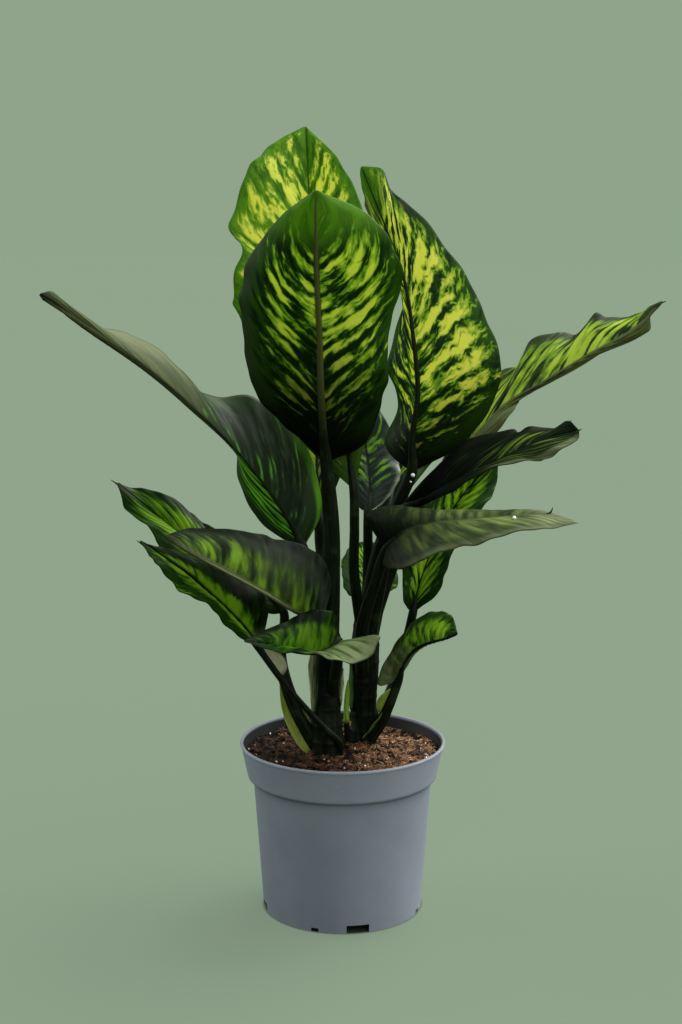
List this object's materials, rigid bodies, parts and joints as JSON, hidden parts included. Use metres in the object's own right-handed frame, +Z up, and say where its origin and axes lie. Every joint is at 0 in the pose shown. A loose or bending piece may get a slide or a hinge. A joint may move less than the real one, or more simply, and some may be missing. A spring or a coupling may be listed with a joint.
{
  "type": "potted dieffenbachia",
  "caption": "Upright foliage plant with broad mottled leaves on two canes, standing in soil in a round nursery pot with a collar rim.",
  "frame": {"origin": "centre of the flat pad under the pot, on the floor", "axes": "+Z up along the pot's axis, the front of the plant looks along -Y, +X to the right of the front view"},
  "size_m": [0.6112, 0.3565, 0.7967],
  "materials": {
    "pot": "satin grey-blue moulded plastic",
    "soil": "loose brown potting mix of coir and bark",
    "cane": "smooth dark green",
    "shoot": "smooth pale green",
    "leaf": "satin, dark green mottled with lime along the side veins"
  },
  "bodies": {
    "root": {"pot": "pot", "soil": "soil", "cane_left": "cane", "cane_right": "cane", "shoot": "shoot", "leaf_front_tall": "leaf", "leaf_back_tall": "leaf", "leaf_right_tall": "leaf", "leaf_left_long": "leaf", "leaf_left_upper": "leaf", "leaf_left_front": "leaf", "leaf_left_low": "leaf", "leaf_front_low": "leaf", "leaf_right_long": "leaf", "leaf_right_middle": "leaf", "leaf_right_front": "leaf", "leaf_right_back": "leaf", "leaf_right_low": "leaf", "leaf_centre_back": "leaf", "leaf_rear_low": "leaf", "leaf_rear_left": "leaf", "leaf_rear_right": "leaf"}
  },
  "joints": []
}
